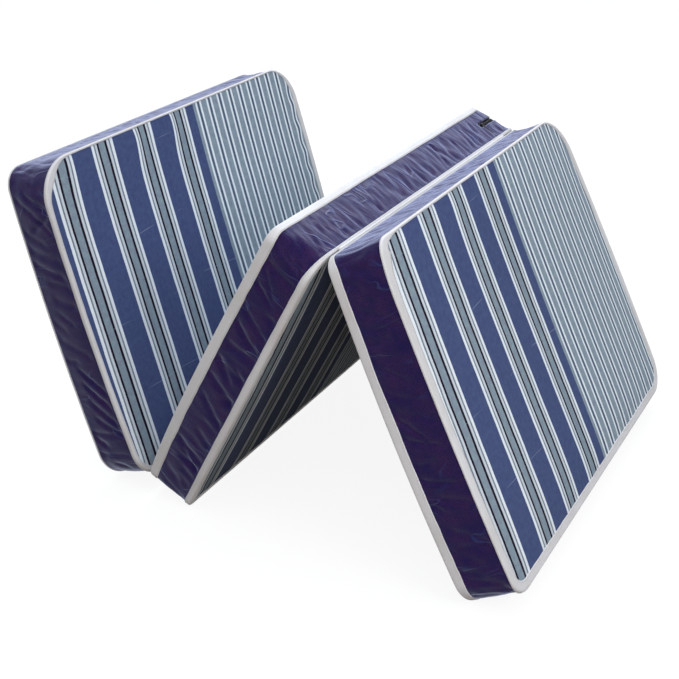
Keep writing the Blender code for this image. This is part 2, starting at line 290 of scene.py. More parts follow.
def makeYarnGroup():
    # crossing yarns of a plain or twill weave: a height and a fine colour variation
    group, given, result = newGroup("yarnWeave", ("Height", "Tone"), Yarn_Pitch=0.0008,
                                    Twill=0.0)
    x, y = splitUp(group, given["Vector"])
    shifted = mathNode(group, "MULTIPLY_ADD", x, given["Twill"], y)
    weave = mathNode(group, "MULTIPLY", waveOf(group, x, given["Yarn Pitch"]),
                     waveOf(group, shifted, given["Yarn Pitch"]))
    slub = noiseOf(group, given["Vector"], 420.0)
    give(group, result["Height"], mathNode(group, "MULTIPLY_ADD", weave, 0.35, slub))
    give(group, result["Tone"], mathNode(group, "MULTIPLY_ADD", weave, 0.25, 0.5))
    return group


def makeGrimeGroup():
    # soft handling marks and small specks
    group, given, result = newGroup("handlingMarks", ("Patches", "Specks"), Patch_Scale=6.0,
                                    Speck_Scale=160.0)
    patch = noiseOf(group, given["Vector"], given["Patch Scale"], 4.0, 0.6)
    speck = noiseOf(group, given["Vector"], given["Speck Scale"], 3.0, 0.7)
    give(group, result["Patches"], ranged(group, patch, (0.42, 0.72)))
    give(group, result["Specks"], ranged(group, speck, (0.62, 0.70)))
    return group


def makeTwillGroup():
    # slanting lines of a twill, 0 in a furrow and 1 on a rib
    group, given, result = newGroup("twillLines", ("Line",), Line_Pitch=0.003, Slant=1.0)
    x, y = splitUp(group, given["Vector"])
    run = mathNode(group, "MULTIPLY_ADD", y, given["Slant"], x)
    uneven = noiseOf(group, given["Vector"], 130.0)
    run = mathNode(group, "MULTIPLY_ADD", uneven, 0.0016, run)
    strength = ranged(group, uneven, goal=(0.15, 0.75))
    wave = mathNode(group, "MULTIPLY", waveOf(group, run, given["Line Pitch"]), strength)
    give(group, result["Line"], mathNode(group, "MULTIPLY_ADD", wave, 0.5, 0.5))
    return group


def makeCreaseGroup():
    # thin broken lines across the stripes, about a hand's breadth apart
    group, given, result = newGroup("oldCreases", ("Crease",), Spacing=0.145)
    x, y = splitUp(group, given["Vector"])
    bend = noiseOf(group, given["Vector"], 3.0, 1.0)
    run = mathNode(group, "MULTIPLY_ADD", bend, 0.06, x)
    share = mathNode(group, "FRACT", mathNode(group, "DIVIDE", run, given["Spacing"]))
    line = lineAt(group, share, 0.5, 0.0055, 0.0015)
    broken = noiseOf(group, given["Vector"], 11.0, 3.0)
    kept = ranged(group, broken, (0.50, 0.62), (0.0, 0.40))
    give(group, result["Crease"], mathNode(group, "MULTIPLY", line, kept))
    return group


def makeRidgeGroup():
    # thin curved ridges that fade in and out
    group, given, result = newGroup("thinRidges", ("Ridge",), Scale=20.0)
    field = noiseOf(group, given["Vector"], given["Scale"], 2.5, 0.45, 0.8)
    line = lineAt(group, field, 0.5, 0.020, 0.0)
    kept = ranged(group, noiseOf(group, given["Vector"], 26.0, 1.0), (0.45, 0.68))
    give(group, result["Ridge"], mathNode(group, "MULTIPLY", line, kept))
    return group


yarnGroup = makeYarnGroup()
twillGroup = makeTwillGroup()
ridgeGroup = makeRidgeGroup()
creaseGroup = makeCreaseGroup()
grimeGroup = makeGrimeGroup()


def placeGroup(tree, group, vector, **values):
    # a group's outputs; the underscores in the names of its values are spaces
    values = {label.replace("_", " "): value for label, value in values.items()}
    node = addNode(tree, "ShaderNodeGroup", node_tree=group)
    for label, value in {"Vector": vector, **values}.items():
        give(tree, node.inputs[label], value)
    return node.outputs


def newMaterial(name, roughness, **constants):
    # the tree and the shader's inputs, with plain values set on the shader itself
    material = bpy.data.materials.new(name)
    material.use_nodes = True
    inputs = material.node_tree.nodes["Principled BSDF"].inputs
    inputs["Roughness"].default_value = roughness
    for label, value in constants.items():
        inputs[label.replace("_", " ")].default_value = value
    return material, material.node_tree, inputs


def clothPlace(tree):
    return addNode(tree, "ShaderNodeUVMap", uv_map="cloth").outputs[0]


# ticking
ticking = {
    "groupPeriod": 0.118, "wideStripes": 0.379, "fineStart": 0.3885, "finePeriod": 0.0375,
    "navy": (0.060, 0.082, 0.184, 1), "white": (0.73, 0.78, 0.81, 1),
    "slate": (0.185, 0.215, 0.255, 1), "pale": (0.560, 0.610, 0.650, 1),
    "black": (0.014, 0.008, 0.020, 1), "grey": (0.228, 0.285, 0.330, 1),
    "fineGrey": (0.240, 0.297, 0.345, 1), "fineSlate": (0.082, 0.118, 0.178, 1),
    # starts of the stripes as shares of a period
    "group": (("navy", 0.0), ("white", 0.4660), ("slate", 0.524), ("pale", 0.558),
              ("black", 0.603), ("grey", 0.645), ("black", 0.788), ("pale", 0.838),
              ("slate", 0.888), ("white", 0.920), ("navy", 0.980)),
    "fine": (("white", 0.0), ("fineSlate", 0.155), ("white", 0.365), ("fineGrey", 0.530)),
    # patches in the dye, and the colour and shade that they and the twill give
    "mottleScale": 95.0, "mottleLow": (0.86, 0.80, 0.90, 1), "mottleHigh": (1.12, 1.20, 1.12, 1),
    "hatchPitch": 0.0036, "hatchShade": (0.74, 1.22), "yarnPitch": 0.0026,
    "crease": (0.42, 0.46, 0.56, 1), "roughness": 0.80, "bump": 0.0005,
}


def stripeRamp(tree, factor, stripes):
    ramp = addNode(tree, "ShaderNodeValToRGB", {0: factor})
    ramp.color_ramp.interpolation = "CONSTANT"
    elements = ramp.color_ramp.elements
    elements[0].position, elements[0].color = 0.0, ticking[stripes[0][0]]
    elements[1].position, elements[1].color = stripes[1][1], ticking[stripes[1][0]]
    for colour, start in stripes[2:]:
        elements.new(start).color = ticking[colour]
    return ramp.outputs[0]


def makeTicking():
    material, tree, inputs = newMaterial("stripedTicking", ticking["roughness"],
                                         Sheen_Weight=0.05, Specular_IOR_Level=0.0)
    cloth = clothPlace(tree)
    # yarns step in and out a little at the edges of a stripe
    across = mathNode(tree, "MULTIPLY_ADD", noiseOf(tree, cloth, 420.0, 1.0), 0.0008,
                      splitUp(tree, cloth)[1])
    wide = mathNode(tree, "FRACT", mathNode(tree, "DIVIDE", across, ticking["groupPeriod"]))
    offset = mathNode(tree, "SUBTRACT", across, ticking["fineStart"])
    fine = mathNode(tree, "FRACT", mathNode(tree, "DIVIDE", offset, ticking["finePeriod"]))
    isFine = mathNode(tree, "GREATER_THAN", across, ticking["wideStripes"])
    colour = mixColour(tree, isFine, stripeRamp(tree, wide, ticking["group"]),
                       stripeRamp(tree, fine, ticking["fine"]))
    # white yarns lie smooth, and the dark ones show the weave
    pale = addNode(tree, "ShaderNodeRGBToBW", {0: colour}).outputs[0]
    woven = ranged(tree, pale, (0.30, 0.55), (1.0, 0.15))
    # the dye is patchy, and shifts between blue and green
    mottle = ranged(tree, noiseOf(tree, cloth, ticking["mottleScale"], 4.0, 0.7), (0.3, 0.7))
    tint = mixColour(tree, mottle, ticking["mottleLow"], ticking["mottleHigh"])
    colour = mixColour(tree, woven, colour, tint, "MULTIPLY")
    # diagonal twill lines, broken up by uneven yarns
    weave = placeGroup(tree, yarnGroup, cloth, Yarn_Pitch=ticking["yarnPitch"], Twill=1.0)
    hatch = placeGroup(tree, twillGroup, cloth, Line_Pitch=ticking["hatchPitch"], Slant=0.9)
    tone = ranged(tree, hatch["Line"], goal=ticking["hatchShade"])
    colour = mixColour(tree, woven, colour, tone, "MULTIPLY")
    # fine pale creases where the cloth was once folded
    crease = placeGroup(tree, creaseGroup, cloth)["Crease"]
    give(tree, inputs["Base Color"], mixColour(tree, crease, colour, ticking["crease"]))
    height = mathNode(tree, "MULTIPLY_ADD", hatch["Line"], 0.6, weave["Height"])
    give(tree, inputs["Normal"], bumped(tree, height, ticking["bump"], 0.6))
    return material


# band cloth
bandCloth = {
    "indigo": (0.0070, 0.0028, 0.0420, 1), "violet": (0.0200, 0.0060, 0.0440, 1),
    # the colour after the sheen tint is a painted highlight for the crease ridges, and its share
    # is how strongly it is painted
    "sheenTint": (0.60, 0.68, 0.98, 1), "creaseHighlight": (0.030, 0.046, 0.150, 1), "creaseHighlightShare": 0.55,
    "cloudScale": 34.0, "fleckScale": 520.0, "fleckShade": (0.30, 2.0), "gloss": (0.26, 0.42),
    # scale and slant of the thin creases, whose ridges carry a painted highlight, and of the
    # gathers
    "crackle": ((1.0, 0.42, 1.0), 0.35), "gathers": ((62.0, 11.0, 1.0), 0.18),
    "gatherDepth": 0.0020, "grainDepth": 0.0004,
}


def makeBandCloth():
    material, tree, inputs = newMaterial("coatedBand", 0.4, Specular_IOR_Level=0.06,
                                         Sheen_Weight=1.0, Sheen_Roughness=0.40,
                                         Sheen_Tint=bandCloth["sheenTint"])
    cloth = clothPlace(tree)
    cloudy = noiseOf(tree, cloth, bandCloth["cloudScale"], 5.0, 0.65)
    colour = mixColour(tree, ranged(tree, cloudy, (0.35, 0.65)), bandCloth["indigo"],
                       bandCloth["violet"])
    # a coarse grain of lighter and darker flecks
    fleck = noiseOf(tree, cloth, bandCloth["fleckScale"])
    colour = mixColour(tree, 1.0, colour,
                       ranged(tree, fleck, (0.3, 0.7), bandCloth["fleckShade"]), "MULTIPLY")
    # a pale blue painted highlight is mixed into the colour along the ridges of thin curved
    # creases
    crackle = placeGroup(tree, ridgeGroup, mapped(tree, cloth, *bandCloth["crackle"]),
                         Scale=17.0)["Ridge"]
    creaseHighlight = mathNode(tree, "MULTIPLY", crackle, bandCloth["creaseHighlightShare"])
    give(tree, inputs["Base Color"], mixColour(tree, creaseHighlight, colour, bandCloth["creaseHighlight"]))
    give(tree, inputs["Roughness"], ranged(tree, cloudy, goal=bandCloth["gloss"]))
    # gathers run across the band, so the pattern is drawn out through the thickness
    gather = noiseOf(tree, mapped(tree, cloth, *bandCloth["gathers"]), 1.0, 3.0, 0.45, 0.9)
    amount = addNode(tree, "ShaderNodeAttribute", attribute_name="gather")
    height = mathNode(tree, "MULTIPLY", gather, amount.outputs["Fac"])
    height = mathNode(tree, "MULTIPLY_ADD", crackle, 0.45, height)
    weave = placeGroup(tree, yarnGroup, cloth, Yarn_Pitch=0.0009)["Height"]
    grain = mathNode(tree, "MULTIPLY_ADD", weave, 0.3, fleck)
    fineBump = bumped(tree, grain, bandCloth["grainDepth"], 0.5)
    give(tree, inputs["Normal"],
         bumped(tree, height, bandCloth["gatherDepth"], 1.0, fineBump))
    return material


# binding tape
bindingTape = {
    "white": (0.620, 0.610, 0.610, 1), "soiled": (0.400, 0.350, 0.310, 1),
    "patchShare": 0.35, "speckShare": 0.45, "roughness": 0.55, "ribDepth": 0.0002,
    "roll": 0.0040, "thickness": 0.0012, "pitch": 0.0050,
    "edgeWobble": 0.07, "wobbleScale": 14, "ripple": 0.00035, "rippleScale": 45,
    # the tape's edge: how far it is pressed in, its bevel, how far the inside stops
    # short of it, and the least flat part beside the roll
    "press": 0.0007, "bevel": 0.0006, "tuck": 0.0004, "flat": 0.0012,
    # half sizes of a stitch, how far it lies inside the tape's edge, and its colour
    "stitch": (0.0019, 0.00050, 0.00035), "stitchInset": 0.0021,
    "thread": (0.470, 0.455, 0.450, 1),
}


def makeBindingTape():
    material, tree, inputs = newMaterial("bindingTape", bindingTape["roughness"],
                                         Sheen_Weight=0.2, Specular_IOR_Level=0.2)
    cloth = clothPlace(tree)
    marks = placeGroup(tree, grimeGroup, cloth, Patch_Scale=7.0, Speck_Scale=190.0)
    patchy = mathNode(tree, "MULTIPLY", marks["Patches"], bindingTape["patchShare"])
    soiled = mathNode(tree, "MULTIPLY_ADD", marks["Specks"], bindingTape["speckShare"],
                      patchy, clamp=True)
    give(tree, inputs["Base Color"],
         mixColour(tree, soiled, bindingTape["white"], bindingTape["soiled"]))
    weave = placeGroup(tree, yarnGroup, cloth, Yarn_Pitch=0.0011)["Height"]
    give(tree, inputs["Normal"], bumped(tree, weave, bindingTape["ribDepth"], 0.6))
    return material


# zip finishes
zipFinish = {"cloth": (0.012, 0.012, 0.016, 1), "nylon": (0.016, 0.016, 0.020, 1),
             "metal": (0.022, 0.022, 0.026, 1), "ribDepth": 0.0002}


def makeZipCloth():
    material, tree, inputs = newMaterial("zipCloth", 0.85, Specular_IOR_Level=0.05)
    where = addNode(tree, "ShaderNodeTexCoord").outputs["Object"]
    weave = placeGroup(tree, yarnGroup, where, Yarn_Pitch=0.0010)
    give(tree, inputs["Base Color"],
         mixColour(tree, 1.0, zipFinish["cloth"],
                   ranged(tree, weave["Tone"], goal=(0.6, 1.5)), "MULTIPLY"))
    give(tree, inputs["Normal"], bumped(tree, weave["Height"], zipFinish["ribDepth"], 0.6))
    return material


def makeZipHard(name, colour, metallic, roughness):
    material, tree, inputs = newMaterial(name, roughness[0], Metallic=metallic,
                                         Specular_IOR_Level=0.15)
    where = addNode(tree, "ShaderNodeTexCoord").outputs["Object"]
    scuff = noiseOf(tree, where, 300.0, 3.0)
    give(tree, inputs["Roughness"], ranged(tree, scuff, goal=roughness))
    give(tree, inputs["Base Color"],
         mixColour(tree, 1.0, colour, ranged(tree, scuff, goal=(0.8, 1.3)), "MULTIPLY"))
    return material


tickingMaterial = makeTicking()
bandMaterial = makeBandCloth()
tapeMaterial = makeBindingTape()
threadMaterial = newMaterial("bindingThread", 0.6, Specular_IOR_Level=0.2,
                             Base_Color=bindingTape["thread"])[0]
zipClothMaterial = makeZipCloth()
zipNylonMaterial = makeZipHard("zipNylon", zipFinish["nylon"], 0.0, (0.30, 0.50))
zipMetalMaterial = makeZipHard("zipMetal", zipFinish["metal"], 0.8, (0.28, 0.45))
print("materials ready")

# cushions
cushion = {
    "pitch": 0.0078, "underTape": 0.0014,
    # how far the band is drawn in half way up, by edge; below 0 it bulges
    "waist": {"near": -0.0016, "far": 0.0004, "low": 0.0008, "high": -0.0010},
    "heights": (0.0014, 0.0055, 0.0110, 0.0170, 0.0235, 0.0300, 0.0360, 0.0415, 0.0480,
                0.0545, 0.0600, 0.0660, 0.0725, 0.0790, 0.0850, 0.0905, 0.0946),
    "crown": 0.0042, "crownRun": 0.11, "cap": 0.0055, "bandCap": 0.0016, "frames": 20,
    # the simulated cover: less than this far from its bindings' edges it is held, and
    # beyond it is gathered less and less over a distance, in patches
    "held": -0.0015, "bandGather": 0.3, "gatherRun": 0.022, "patch": (0.5, 0.9, 9),
    "fabric": {"quality": 5, "mass": 0.3, "tension_stiffness": 18,
               "compression_stiffness": 18, "shear_stiffness": 6, "bending_stiffness": 0.6,
               "use_pressure": True, "uniform_pressure_force": 4.0,
               "vertex_group_mass": "held", "vertex_group_shrink": "gathered",
               "shrink_min": 0.0, "shrink_max": -0.05},
}
zipSlot = {"setback": 0.095, "half": 0.0065, "endGap": 0.030, "floor": 0.0083,
           # how far in from an edge and from an end the slot and the zip still lie
           "edgeReach": 0.02, "slotReach": 0.06, "zipReach": 0.07}

# widths of each binding on its panel and on the band, by edge: near and far are the
# short ends, low and high the edges at the start and the end of the stripes
tapeLegs = {
    ("left", True): {"near": (0.0085, 0.0090), "far": (0.0170, 0.0110),
                     "low": (0.0045, 0.0042), "high": (0.0130, 0.0110)},
    ("left", False): {"near": (0.0150, 0.0042), "far": (0.0140, 0.0100),
                      "low": (0.0130, 0.0045), "high": (0.0140, 0.0100)},
    ("middle", True): {"near": (0.0120, 0.0190), "far": (0.0130, 0.0120),
                       "low": (0.0130, 0.0110), "high": (0.0120, 0.0155)},
    ("middle", False): {"near": (0.0150, 0.0125), "far": (0.0140, 0.0110),
                        "low": (0.0140, 0.0110), "high": (0.0140, 0.0065)},
    ("right", True): {"near": (0.0185, 0.0042), "far": (0.0190, 0.0100),
                      "low": (0.0050, 0.0050), "high": (0.0185, 0.0100)},
    ("right", False): {"near": (0.0130, 0.0180), "far": (0.0140, 0.0110),
                       "low": (0.0140, 0.0090), "high": (0.0140, 0.0110)},
}


# how much wider a binding gets on the panel near a corner, and over what distance
cornerTape = {("left", True, "low", "near"): (0.014, 0.050),
              ("right", True, "low", "near"): (0.013, 0.040)}


def edgeShares(outward):
    # how much of each edge there is in an outward direction
    return {"near": min(outward[1], 0) ** 2, "far": max(outward[1], 0) ** 2,
            "low": min(outward[0], 0) ** 2, "high": max(outward[0], 0) ** 2}


def legWidths(side, atFace, outward, place):
    # the two widths of a binding at a plan point where its edge faces outward
    legs, shares = tapeLegs[side, atFace], edgeShares(outward)
    panelLeg, bandLeg = (sum(shares[edge] * legs[edge][leg] for edge in legs)
                         for leg in (0, 1))
    name = (side, atFace, "high" if outward[0] > 0 else "low",
            "far" if outward[1] > 0 else "near")
    if name in cornerTape:
        extra, reach = cornerTape[name]
        away = math.hypot(place[0] - (depth if outward[0] > 0 else 0),
                          place[1] - math.copysign(width / 2, outward[1]))
        panelLeg += extra * math.exp(-(away / reach) ** 2)
    return panelLeg, bandLeg


def rimFacing(x, y, side, up=0.5):
    # the outward direction at a plan point, and how far inside the edge it lies
    bowed = width / 2 + mattress["endBow"] * (1 - (2 * x / depth - 1) ** 2)
    signX, signY = math.copysign(1, x - depth / 2), math.copysign(1, y)
    radius = cornerRadius(side, signX, signY, 0, up)
    a, b = abs(x - depth / 2) - depth / 2 + radius, abs(y) - bowed + radius
    if a > 0 and b > 0:
        reach = math.hypot(a, b)
        return (signX * a / reach, signY * b / reach), radius - reach
    return ((signX, 0.0), radius - a) if a > b else ((0.0, signY), radius - b)


def smoothStep(value):
    value = min(max(value, 0.0), 1.0)
    return value * value * (3 - 2 * value)


# how the foam has settled at the near ends: moves of the panel's near edge in and of
# the back's out, at the start and the end of the stripes, an extra move at the start,
# and the swelling of either, in metres
settling = {
    "reach": 0.26, "cornerReach": 0.045,
    "left": {"faceIn": (0.0, 0.0), "backOut": (-0.008, 0.0), "cornerIn": 0.0,
             "faceSwell": 0.0, "backSwell": 0.0},
    "middle": {"faceIn": (0.0, 0.0), "backOut": (0.0, 0.0), "cornerIn": 0.0,
               "faceSwell": 0.0085, "backSwell": 0.0030},
    "right": {"faceIn": (0.0255, -0.0040), "backOut": (-0.019, 0.022), "cornerIn": 0.013,
              "faceSwell": 0.0030, "backSwell": 0.0030},
}


def settlingAt(side, point):
    # how far a point of the near end is moved along the folds, and through the thickness
    moves = settling[side]
    ramp = smoothStep(1 - (point.y + width / 2) / settling["reach"])
    along = min(max(point.x / depth, 0), 1)
    up = min(max(point.z / thickness, 0), 1)
    inFace = between(moves["faceIn"], along)
    inFace += moves["cornerIn"] * math.exp(-(point.x / settling["cornerReach"]) ** 2)
    outBack = between(moves["backOut"], along)
    swell = up * moves["faceSwell"] * math.sin(math.pi * math.sqrt(along))
    swell -= (1 - up) * moves["backSwell"] * math.sin(math.pi * along)
    return ramp * (up * inFace - (1 - up) * outBack), ramp * swell


def settled(side, point):
    return point + Vector((0, *settlingAt(side, point)))


def cushionForm(side):
    # one closed skin: a face grid, the band drawn down from its rim, and a back grid
    bm = bmesh.new()
    across, along = round(depth / cushion["pitch"]), round(width / cushion["pitch"])
    level = bm.verts.layers.float.new("level")
    bmesh.ops.create_grid(bm, x_segments=across, y_segments=along, size=1)
    rim = [edge for edge in bm.edges if edge.is_boundary]
    heights = cushion["heights"][::-1]
    for vert in bm.verts:
        vert.co.z = heights[0]
    for height in heights[1:]:
        drawn = bmesh.ops.extrude_edge_only(bm, edges=rim)["geom"]
        for item in drawn:
            if isinstance(item, bmesh.types.BMVert):
                item.co.z = height
        rim = [item for item in drawn if isinstance(item, bmesh.types.BMEdge)
               and all(vert.co.z == item.verts[0].co.z for vert in item.verts)
               and item.is_boundary]
    back = bmesh.ops.create_grid(bm, x_segments=across, y_segments=along, size=1)["verts"]
    for vert in back:
        vert.co.z = heights[-1]
    bmesh.ops.remove_doubles(bm, verts=bm.verts, dist=1e-5)
    for vert in bm.verts:
        s, t, height = vert.co
        vert[level] = height
        drawIn = smoothStep((min(height, thickness - height) - 0.012) / 0.022)
        shares = edgeShares(rimFacing(*planPoint(s, t, side, 0, 0.5), side)[0])
        waist = sum(share * cushion["waist"][edge] for edge, share in shares.items())
        inset = cushion["underTape"] + waist * drawIn
        x, y = planPoint(s, t, side, inset, height / thickness)
        vert.co = (x, y, height)
    bmesh.ops.recalc_face_normals(bm, faces=bm.faces)
    return bm


def onBandAt(z):
    return 0.002 < z < thickness - 0.002


def inflate(bm, side):
    # cloth simulation of the filled cover, held at its bindings
    mesh = bpy.data.meshes.new(side + "Rest")
    bm.to_mesh(mesh)
    pad = linked(side + "Rest", mesh)
    held = pad.vertex_groups.new(name="held")
    full = pad.vertex_groups.new(name="gathered")
    for vert in mesh.vertices:
        x, y, z = vert.co
        outward, edge = rimFacing(x, y, side, z / thickness)
        panelLeg, bandLeg = legWidths(side, z > thickness / 2, outward, (x, y))
        onBand = onBandAt(z) and edge < 0.012
        reach = min(z, thickness - z) - bandLeg if onBand else edge - panelLeg
        if reach < cushion["held"]:
            held.add([vert.index], 1.0, "REPLACE")
        gathered = (cushion["bandGather"] if onBand
                    else math.exp(-max(reach, 0) / cushion["gatherRun"]))
        base, spread, scale = cushion["patch"]
        patch = noiseAt(x, y, scale, 3.0 * sides.index(side))
        gathered *= min(max(base + spread * patch, 0), 1)
        full.add([vert.index], gathered, "REPLACE")
    cloth = pad.modifiers.new("filling", "CLOTH")
    for setting, value in cushion["fabric"].items():
        setattr(cloth.settings, setting, value)
    cloth.settings.effector_weights.gravity = 0
    cloth.collision_settings.use_collision = False
    cloth.point_cache.frame_start = 1
    cloth.point_cache.frame_end = cushion["frames"]
    for step in range(1, cushion["frames"] + 1):
        scene.frame_set(step)
    grown = pad.evaluated_get(bpy.context.evaluated_depsgraph_get()).to_mesh()
    moves = [after.co - before.co for before, after in zip(mesh.vertices, grown.vertices)]
    scene.frame_set(1)
    bpy.data.objects.remove(pad)
    bpy.data.meshes.remove(mesh)
    return moves


def rimFinder(side):
    # finds the run along the edge that is nearest to a plan point
    way, total = rimWay(side, cushion["underTape"], 0.003)
    tree = kdtree.KDTree(len(way))
    for index, stop in enumerate(way):
        tree.insert(stop[0].to_3d(), index)
    tree.balance()
    return (lambda x, y: way[tree.find((x, y, 0))[1]][2]), total


# how the stripes run on the panels: the pattern's place along the folds with its stretch
# and the bend of that, its slant and bow over the length, how the start of the stripes is
# drawn aside and over what length, the shear, and a slow sway along the folds
stripeRun = {
    "left": {"place": (0.3413, 1.0049, -0.0066), "slant": (0.0241, -0.0376),
             "start": (-0.0109, 0.060), "shear": -0.0408, "sway": 0.0004,
             "pulls": ((-0.345, -0.0046), (-0.165, -0.0110), (-0.052, -0.0130))},
    "middle": {"place": (0.3380, 0.9710, 0.0), "slant": (0.020, -0.010),
               "start": (-0.0100, 0.060), "shear": -0.030, "sway": 0.0,
               "pulls": ((-0.200, -0.005), (0.060, 0.006))},
    "right": {"place": (0.3149, 1.0050, 0.0261), "slant": (0.0702, -0.0383),
              "start": (-0.0161, 0.080), "shear": -0.0435, "sway": 0.0016,
              "pulls": ((-0.185, -0.0021), (-0.122, -0.0040))},
}
scallops = {"left": 0.0034, "middle": 0.0012, "right": 0.0003}
# the sway's length, the place and half sizes of a pull and how it eases off at the very
# edge, the amount, scale and seed of each waver, and the scallops' length and start
drift = {"sway": 0.40, "pullPlace": 0.020, "pull": (0.045, 0.030), "ease": (0.35, 0.010),
         "wavers": ((0.0008, 9, 11.0), (0.0005, 28, 17.0)),
         "scallop": 0.055, "scallopStart": 0.365, "scallopRamp": 0.035}


def patternAt(side, x, y, z):
    # the pattern's own place across the stripes, at a point of a panel
    run = stripeRun[side]
    y += settlingAt(side, Vector((x, y, z)))[0]
    place, stretch, bend = run["place"]
    across = place + stretch * y + bend * y * y + run["shear"] * x * y
    across += run["slant"][0] * x + run["slant"][1] * x * x
    across += run["start"][0] * math.exp(-x / run["start"][1])
    across += run["sway"] * math.cos(math.tau * y / drift["sway"])
    (halfX, halfY), (ease, easeRun) = drift["pull"], drift["ease"]
    for at, amount in run["pulls"]:
        pull = math.exp(-((x - drift["pullPlace"]) / halfX) ** 2 - ((y - at) / halfY) ** 2)
        across += amount * pull * (1 - ease * math.exp(-(x / easeRun) ** 2))
    for amount, scale, seed in drift["wavers"]:
        across += amount * noiseAt(x, y, scale, seed + sides.index(side))
    scallop = scallops[side] * math.sin(math.tau * x / drift["scallop"])
    return across + scallop * smoothStep((y - drift["scallopStart"]) / drift["scallopRamp"])


def paintCloth(bm, side):
    # lays the cloths' own coordinates over the skin, in metres
    level = bm.verts.layers.float["level"]
    layer = bm.loops.layers.uv.new("cloth")
    gather = bm.verts.layers.float.new("gather")
    runAt, total = rimFinder(side)
    spots = {}
    for vert in bm.verts:
        x, y = vert.co.x, vert.co.y
        outward, edge = rimFacing(x, y, side, vert[level] / thickness)
        vert[gather] = 1.0 if abs(outward[0]) > 0.8 else 0.35
        if onBandAt(vert[level]) or edge < 0.009:
            spots[vert] = runAt(x, y)
    for face in bm.faces:
        heights = [loop.vert[level] for loop in face.loops]
        onBand = max(heights) - min(heights) > 1e-4
        face.material_index = 1 if onBand else 0
        if onBand:
            places = [spots[loop.vert] for loop in face.loops]
            wraps = max(places) - min(places) > total / 2
            for loop, run in zip(face.loops, places):
                run += total if wraps and run < total / 2 else 0
                loop[layer].uv = (run, loop.vert[level])
        else:
            for loop in face.loops:
                x, y = loop.vert.co.x, loop.vert.co.y
                loop[layer].uv = (x, patternAt(side, x, y, loop.vert[level]))


def refined(bm):
    # one smoothing subdivision, applied
    mesh = bpy.data.meshes.new("coarse")
    bm.to_mesh(mesh)
    bm.free()
    coarse = linked("coarse", mesh)
    smoother = coarse.modifiers.new("smoother", "SUBSURF")
    smoother.levels = smoother.render_levels = 1
    smooth = coarse.evaluated_get(bpy.context.evaluated_depsgraph_get())
    fine = bmesh.new()
    fine.from_mesh(smooth.to_mesh())
    bpy.data.objects.remove(coarse)
    bpy.data.meshes.remove(mesh)
    return fine


# creases over the band: how far apart they are on the short ends and along the edges,
# half their width, how deep they are, the mean and spread of their slant and their bend,
# where they start and how much of the height they span
bandCreases = {"endSpacing": (0.012, 0.036), "edgeSpacing": (0.011, 0.021),
               "endWidth": (0.0036, 0.0075), "edgeWidth": (0.0036, 0.0060),
               "endDepth": (0.0016, 0.0036), "edgeDepth": (0.0012, 0.0026),
               "slant": (0.22, 0.18), "endSlant": 2.0, "bend": (0, 2.2),
               "low": (0.0, 0.0, 0.25), "span": (0.45, 1.0),
               # small puckers in the band, and gathers on the panel along a binding
               "pucker": 0.0010, "puckerScale": 62, "puckerRise": 30,
               "gather": 0.0013, "gatherScale": 38, "gatherRun": 0.016, "gatherEnd": 0.05}


def scatterCreases(side, total):
    # creases round the band: run, half width, depth, slant, bend, and the heights they span
    chance = random.Random(40 + sides.index(side))
    longEdge = depth - 2 * mattress["corner"]
    creases, run = [], 0.0
    while run < total:
        # the short ends lie at the start, the middle and the finish of the run
        fromEnd = min(run, total - run, abs(run - total / 2))
        kind = "end" if fromEnd < longEdge / 2 + 0.03 else "edge"
        low = chance.choice(bandCreases["low"])
        creases.append((run, chance.uniform(*bandCreases[kind + "Width"]),
                        chance.uniform(*bandCreases[kind + "Depth"]),
                        chance.gauss(*bandCreases["slant"])
                        * (bandCreases["endSlant"] if kind == "end" else 1.0),
                        chance.gauss(*bandCreases["bend"]), low,
                        low + chance.uniform(*bandCreases["span"])))
        run += chance.uniform(*bandCreases[kind + "Spacing"])
    return creases


def creaseDepth(creases, run, height, total):
    # the height over the thickness is 0 at one binding and 1 at the other
    share = height / thickness
    depthSum = 0.0
    for at, half, deep, slant, bend, low, high in creases:
        offset = run - at - slant * (height - thickness / 2)
        offset -= bend * (height - thickness / 2) ** 2
        offset = (offset + total / 2) % total - total / 2
        if abs(offset) > 3.2 * half:
            continue
        span = smoothStep((share - low) / 0.2) * smoothStep((high - share) / 0.2)
        ratio = offset / half
        depthSum += deep * span * (0.55 * ratio - 0.75) * math.exp(-0.5 * ratio * ratio)
    return depthSum


def wrinkle(bm, side):
    # creases over the band, and small gathers along every binding
    level = bm.verts.layers.float["level"]
    runAt, total = rimFinder(side)
    creases = scatterCreases(side, total)
    seed = 9.0 * sides.index(side)
    for vert in bm.verts:
        x, y, z = vert.co
        height = vert[level]
        outward, edge = rimFacing(x, y, side, height / thickness)
        panelLeg, bandLeg = legWidths(side, height > thickness / 2, outward, (x, y))
        if onBandAt(height):
            clear = min(height, thickness - height) - bandLeg
            if clear < -0.001:
                continue
            run = runAt(x, y)
            free = smoothStep((clear + 0.001) / 0.009)
            move = creaseDepth(creases, run, height, total) * free
            puff = noise.noise(lapped(run, total) * bandCreases["puckerScale"] + Vector(
                (0, 0, height * bandCreases["puckerRise"] + seed)))
            move += bandCreases["pucker"] * puff * smoothStep((clear + 0.001) / 0.004)
            vert.co += Vector((outward[0], outward[1], 0)) * move
        elif -0.001 < edge - panelLeg < bandCreases["gatherEnd"]:
            clear, scale = edge - panelLeg, bandCreases["gatherScale"]
            turn = math.atan2(y, x - depth / 2)
            gathered = noise.noise(Vector((x * scale * abs(outward[1]),
                                           y * scale * abs(outward[0]),
                                           seed + 5 + turn * 0.3)))
            fade = smoothStep((clear + 0.001) / 0.005)
            fade *= math.exp(-max(clear, 0) / bandCreases["gatherRun"])
            vert.co.z += math.copysign(bandCreases["gather"] * gathered * fade,
                                       z - thickness / 2)


